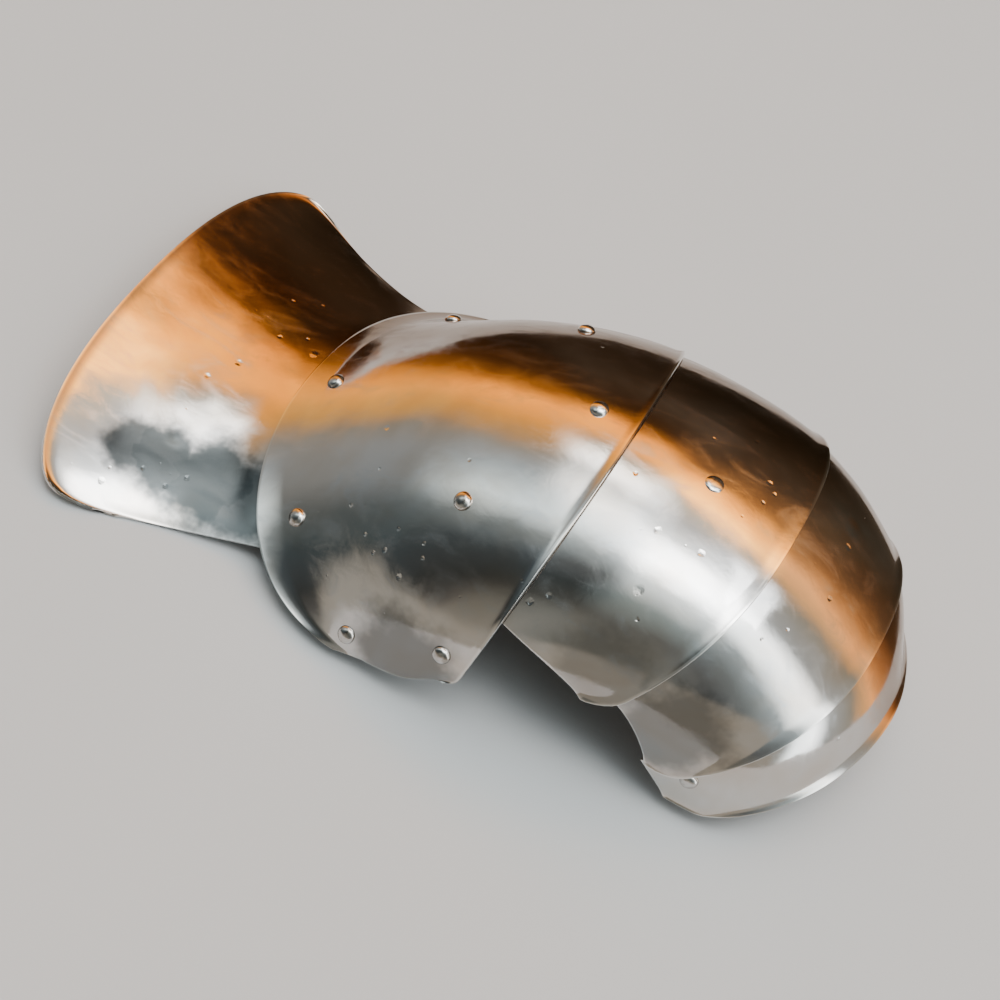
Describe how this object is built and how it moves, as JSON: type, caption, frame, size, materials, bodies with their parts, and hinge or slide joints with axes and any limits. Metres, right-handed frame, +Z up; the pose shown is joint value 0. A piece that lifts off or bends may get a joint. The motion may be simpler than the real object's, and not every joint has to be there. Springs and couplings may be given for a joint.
{
  "type": "spaulder",
  "caption": "Polished steel spaulder: a flared neck plate, a domed shoulder cop with domed rivets, and articulated lames that overlap down the upper arm on hidden leathers.",
  "frame": {"origin": "bottom centre of the bounding box, on the surface that the spaulder lies on with its open side down", "axes": "+X from the neck to the arm, +Y to the back of the shoulder, +Z up through the crown of the cop"},
  "size_m": [0.3816, 0.213, 0.1101],
  "materials": {
    "polished_steel": "hand-polished sheet steel with faint hammer waves, fine swirls and small pits",
    "rivet_steel": "domed steel rivet heads, slightly duller than the plates",
    "leather": "plain brown strap leather"
  },
  "bodies": {
    "root": {"neck_plate": "polished_steel", "cop": "polished_steel", "lame_1": "polished_steel", "lame_2": "polished_steel", "lame_3": "polished_steel", "front_leather": "leather", "middle_leather": "leather", "back_leather": "leather", "neck_rivet_front_low": "rivet_steel", "neck_rivet_front": "rivet_steel", "neck_rivet_middle": "rivet_steel", "neck_rivet_back": "rivet_steel", "neck_rivet_back_low": "rivet_steel", "side_rivet_front": "rivet_steel", "side_rivet_back": "rivet_steel", "arm_rivet_front": "rivet_steel", "arm_rivet_middle": "rivet_steel", "arm_rivet_back": "rivet_steel", "lame_1_rivet": "rivet_steel", "lame_3_rivet_front": "rivet_steel", "lame_3_rivet_back": "rivet_steel", "lame_1_pin_front": "rivet_steel", "lame_1_pin_back": "rivet_steel", "lame_2_pin_front": "rivet_steel", "lame_2_pin_middle": "rivet_steel", "lame_2_pin_back": "rivet_steel", "lame_3_pin_middle": "rivet_steel"}
  },
  "joints": []
}
